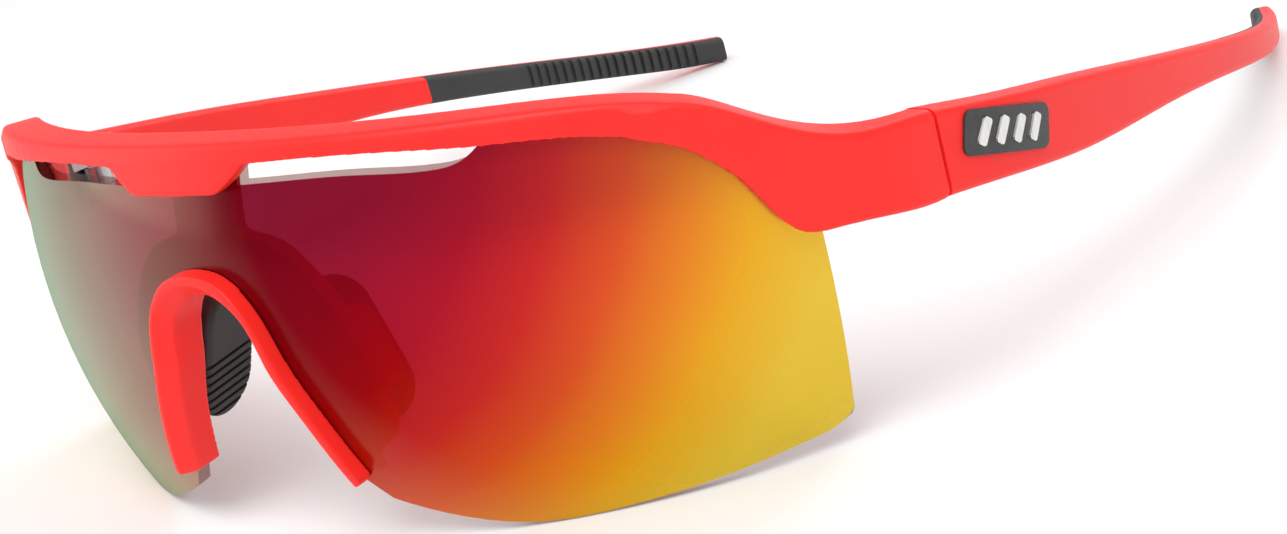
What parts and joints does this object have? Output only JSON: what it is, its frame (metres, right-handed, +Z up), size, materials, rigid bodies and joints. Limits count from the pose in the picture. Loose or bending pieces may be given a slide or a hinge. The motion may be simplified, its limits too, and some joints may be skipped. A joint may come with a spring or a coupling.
{
  "type": "wraparound sport sunglasses",
  "caption": "Wraparound sport sunglasses: one-piece mirrored shield lens, full brow with centre tab, nose bridge with ribbed pads, and folding temples with ribbed rubber grips.",
  "frame": {"origin": "middle of the bounding box's bottom, on the table the open glasses stand on", "axes": "+X is the wearer's left, -Y is the front of the lens, +Z is up"},
  "size_m": [0.1546, 0.1802, 0.0522],
  "materials": {
    "frame_red": "moulded nylon, satin coral red",
    "lens_mirror": "polycarbonate with a red to gold mirror coating",
    "rubber_black": "soft grip rubber",
    "hinge_steel": "stainless steel",
    "washer_white": "nylon",
    "badge_dark": "dark inlay",
    "badge_silver": "satin silver bars"
  },
  "bodies": {
    "front": {"front_frame": "frame_red", "shield_lens": "lens_mirror", "nose_bridge": "frame_red", "nose_pad_left": "rubber_black", "nose_pad_right": "rubber_black", "hinge_leaf_front_left": "hinge_steel", "hinge_leaf_front_right": "hinge_steel", "hinge_screw_left": "hinge_steel", "hinge_screw_right": "hinge_steel", "hinge_washers_left": "washer_white", "hinge_washers_right": "washer_white"},
    "arm_left": {"temple_left": "frame_red", "temple_grip_left": "rubber_black", "hinge_leaf_temple_left": "hinge_steel", "badge_panel_left": "badge_dark", "badge_bars_left": "badge_silver"},
    "arm_right": {"temple_right": "frame_red", "temple_grip_right": "rubber_black", "hinge_leaf_temple_right": "hinge_steel", "badge_panel_right": "badge_dark", "badge_bars_right": "badge_silver"}
  },
  "joints": [
    {"name": "fold_left", "type": "hinge", "parent": "front", "child": "arm_left", "pos_m": [0.06755, -0.041, 0.0315], "axis": [0, 0, 1], "range_deg": [0, 75]},
    {"name": "fold_right", "type": "hinge", "parent": "front", "child": "arm_right", "pos_m": [-0.06755, -0.041, 0.0315], "axis": [0, 0, -1], "range_deg": [0, 85]}
  ]
}
